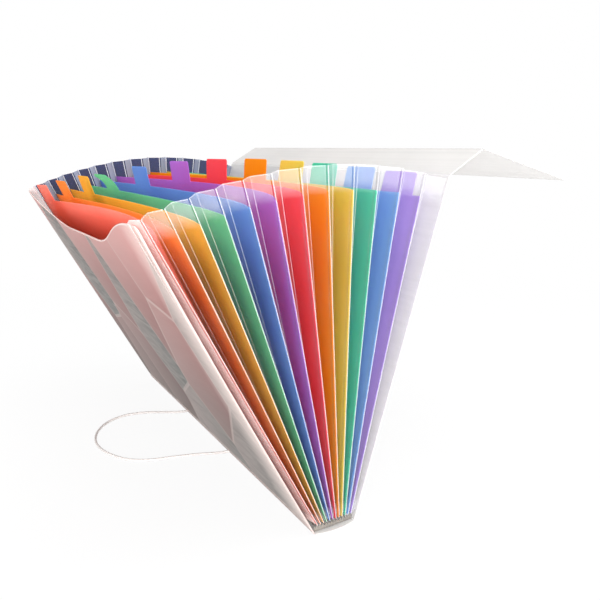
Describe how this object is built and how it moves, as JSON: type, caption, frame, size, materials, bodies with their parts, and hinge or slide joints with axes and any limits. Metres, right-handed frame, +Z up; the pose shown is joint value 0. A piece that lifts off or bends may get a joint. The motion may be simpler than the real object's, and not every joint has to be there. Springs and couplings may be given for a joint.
{
  "type": "accordion file folder",
  "caption": "Expanding accordion file with translucent coloured dividers, pleated clear gussets, a fold-over flap, a glossy front cover and an elastic closing loop.",
  "frame": {"origin": "centre of the base panel's underside, on the surface that the file stands on", "axes": "+X from the front cover towards the back cover, +Y along the base to the far gusset, +Z up"},
  "size_m": [0.3218, 0.33, 0.2417],
  "materials": {
    "clear_cover": "frosted translucent polypropylene sheet",
    "printed_skin": "glossy printed film, dusty pink and silver grey",
    "front_sheet": "satin polypropylene sheet",
    "clear_film": "clear gusset film",
    "weld_fin": "clear film with fine weld serration",
    "white_elastic": "braided elastic cord",
    "crimp_steel": "crimped sleeve",
    "red_sheet": "translucent coloured polypropylene sheet",
    "orange_sheet": "translucent coloured polypropylene sheet",
    "yellow_sheet": "translucent coloured polypropylene sheet",
    "green_sheet": "translucent coloured polypropylene sheet",
    "blue_sheet": "translucent coloured polypropylene sheet",
    "purple_sheet": "translucent coloured polypropylene sheet"
  },
  "bodies": {
    "base": {"base_panel": "clear_cover", "pocket_floor": "clear_film", "end_films": "clear_film", "elastic_loop": "white_elastic", "elastic_crimps": "crimp_steel"},
    "front_cover": {"front_cover": "front_sheet", "front_print_skin": "printed_skin"},
    "divider_1": {"divider_1": "red_sheet", "divider_1_fins": "weld_fin", "near_pleat_1": "clear_film", "far_pleat_1": "clear_film"},
    "divider_2": {"divider_2": "orange_sheet", "divider_2_fins": "weld_fin", "near_pleat_2": "clear_film", "far_pleat_2": "clear_film"},
    "divider_3": {"divider_3": "yellow_sheet", "divider_3_fins": "weld_fin", "near_pleat_3": "clear_film", "far_pleat_3": "clear_film"},
    "divider_4": {"divider_4": "green_sheet", "divider_4_fins": "weld_fin", "near_pleat_4": "clear_film", "far_pleat_4": "clear_film"},
    "divider_5": {"divider_5": "blue_sheet", "divider_5_fins": "weld_fin", "near_pleat_5": "clear_film", "far_pleat_5": "clear_film"},
    "divider_6": {"divider_6": "purple_sheet", "divider_6_fins": "weld_fin", "near_pleat_6": "clear_film", "far_pleat_6": "clear_film"},
    "divider_7": {"divider_7": "red_sheet", "divider_7_fins": "weld_fin", "near_pleat_7": "clear_film", "far_pleat_7": "clear_film"},
    "divider_8": {"divider_8": "orange_sheet", "divider_8_fins": "weld_fin", "near_pleat_8": "clear_film", "far_pleat_8": "clear_film"},
    "divider_9": {"divider_9": "yellow_sheet", "divider_9_fins": "weld_fin", "near_pleat_9": "clear_film", "far_pleat_9": "clear_film"},
    "divider_10": {"divider_10": "green_sheet", "divider_10_fins": "weld_fin", "near_pleat_10": "clear_film", "far_pleat_10": "clear_film"},
    "divider_11": {"divider_11": "blue_sheet", "divider_11_fins": "weld_fin", "near_pleat_11": "clear_film", "far_pleat_11": "clear_film"},
    "divider_12": {"divider_12": "purple_sheet", "divider_12_fins": "weld_fin", "near_pleat_12": "clear_film", "far_pleat_12": "clear_film"},
    "back_cover": {"back_cover": "clear_cover", "near_pleat_13": "clear_film", "far_pleat_13": "clear_film"},
    "flap_strip": {"flap_strip": "clear_cover"},
    "flap_panel": {"flap_panel": "clear_cover"}
  },
  "joints": [
    {"name": "front_cover_fold", "type": "hinge", "parent": "base", "child": "front_cover", "pos_m": [-0.0155, 0, 0.0004], "axis": [0, 1, 0], "range_deg": [0, 27.5], "deforming": ["near_pleat_1", "far_pleat_1", "near_pleat_2", "far_pleat_2", "near_pleat_3", "far_pleat_3", "near_pleat_4", "far_pleat_4", "near_pleat_5", "far_pleat_5", "near_pleat_6", "far_pleat_6", "near_pleat_7", "far_pleat_7", "near_pleat_8", "far_pleat_8", "near_pleat_9", "far_pleat_9", "near_pleat_10", "far_pleat_10", "near_pleat_11", "far_pleat_11", "near_pleat_12", "far_pleat_12", "near_pleat_13", "far_pleat_13"]},
    {"name": "divider_1_fold", "type": "hinge", "parent": "base", "child": "divider_1", "pos_m": [-0.01311, 0, 0.0063], "axis": [0, 1, 0], "range_deg": [0, 27.01]},
    {"name": "divider_2_fold", "type": "hinge", "parent": "base", "child": "divider_2", "pos_m": [-0.01073, 0, 0.0063], "axis": [0, 1, 0], "range_deg": [0, 24.31]},
    {"name": "divider_3_fold", "type": "hinge", "parent": "base", "child": "divider_3", "pos_m": [-0.00835, 0, 0.0063], "axis": [0, 1, 0], "range_deg": [0, 21.35]},
    {"name": "divider_4_fold", "type": "hinge", "parent": "base", "child": "divider_4", "pos_m": [-0.00596, 0, 0.0063], "axis": [0, 1, 0], "range_deg": [0, 18.13]},
    {"name": "divider_5_fold", "type": "hinge", "parent": "base", "child": "divider_5", "pos_m": [-0.00358, 0, 0.0063], "axis": [0, 1, 0], "range_deg": [0, 14.65]},
    {"name": "divider_6_fold", "type": "hinge", "parent": "base", "child": "divider_6", "pos_m": [-0.00119, 0, 0.0063], "axis": [0, 1, 0], "range_deg": [0, 10.91]},
    {"name": "divider_7_fold", "type": "hinge", "parent": "base", "child": "divider_7", "pos_m": [0.00119, 0, 0.0063], "axis": [0, 1, 0], "range_deg": [0, 6.91]},
    {"name": "divider_8_fold", "type": "hinge", "parent": "base", "child": "divider_8", "pos_m": [0.00358, 0, 0.0063], "axis": [0, 1, 0], "range_deg": [0, 2.91]},
    {"name": "divider_9_fold", "type": "hinge", "parent": "base", "child": "divider_9", "pos_m": [0.00596, 0, 0.0063], "axis": [0, 1, 0], "range_deg": [-1.11, 0]},
    {"name": "divider_10_fold", "type": "hinge", "parent": "base", "child": "divider_10", "pos_m": [0.00835, 0, 0.0063], "axis": [0, 1, 0], "range_deg": [-5.11, 0]},
    {"name": "divider_11_fold", "type": "hinge", "parent": "base", "child": "divider_11", "pos_m": [0.01073, 0, 0.0063], "axis": [0, 1, 0], "range_deg": [-9.11, 0]},
    {"name": "divider_12_fold", "type": "hinge", "parent": "base", "child": "divider_12", "pos_m": [0.01311, 0, 0.0063], "axis": [0, 1, 0], "range_deg": [-13.11, 0]},
    {"name": "back_cover_fold", "type": "hinge", "parent": "base", "child": "back_cover", "pos_m": [0.0155, 0, 0.0004], "axis": [0, 1, 0], "range_deg": [-17.11, 0]},
    {"name": "flap_strip_fold", "type": "hinge", "parent": "back_cover", "child": "flap_strip", "pos_m": [0.0846, 0, 0.22501], "axis": [0, -1, 0], "range_deg": [-88, 132.9]},
    {"name": "flap_panel_fold", "type": "hinge", "parent": "flap_strip", "child": "flap_panel", "pos_m": [0.11318, 0, 0.24151], "axis": [0, -1, 0], "range_deg": [0, 128.65]}
  ],
  "couplings": [
    {"joint": "divider_1_fold", "follows": "front_cover_fold", "ratio": 0.98182},
    {"joint": "divider_2_fold", "follows": "front_cover_fold", "ratio": 0.88364},
    {"joint": "divider_3_fold", "follows": "front_cover_fold", "ratio": 0.776},
    {"joint": "divider_4_fold", "follows": "front_cover_fold", "ratio": 0.65891},
    {"joint": "divider_5_fold", "follows": "front_cover_fold", "ratio": 0.53236},
    {"joint": "divider_6_fold", "follows": "front_cover_fold", "ratio": 0.39636},
    {"joint": "divider_7_fold", "follows": "front_cover_fold", "ratio": 0.25091},
    {"joint": "divider_8_fold", "follows": "front_cover_fold", "ratio": 0.10545},
    {"joint": "divider_9_fold", "follows": "front_cover_fold", "ratio": -0.04},
    {"joint": "divider_10_fold", "follows": "front_cover_fold", "ratio": -0.18546},
    {"joint": "divider_11_fold", "follows": "front_cover_fold", "ratio": -0.33091},
    {"joint": "divider_12_fold", "follows": "front_cover_fold", "ratio": -0.47636},
    {"joint": "back_cover_fold", "follows": "front_cover_fold", "ratio": -0.62182},
    {"joint": "flap_panel_fold", "follows": "front_cover_fold", "ratio": 4.6764}
  ]
}
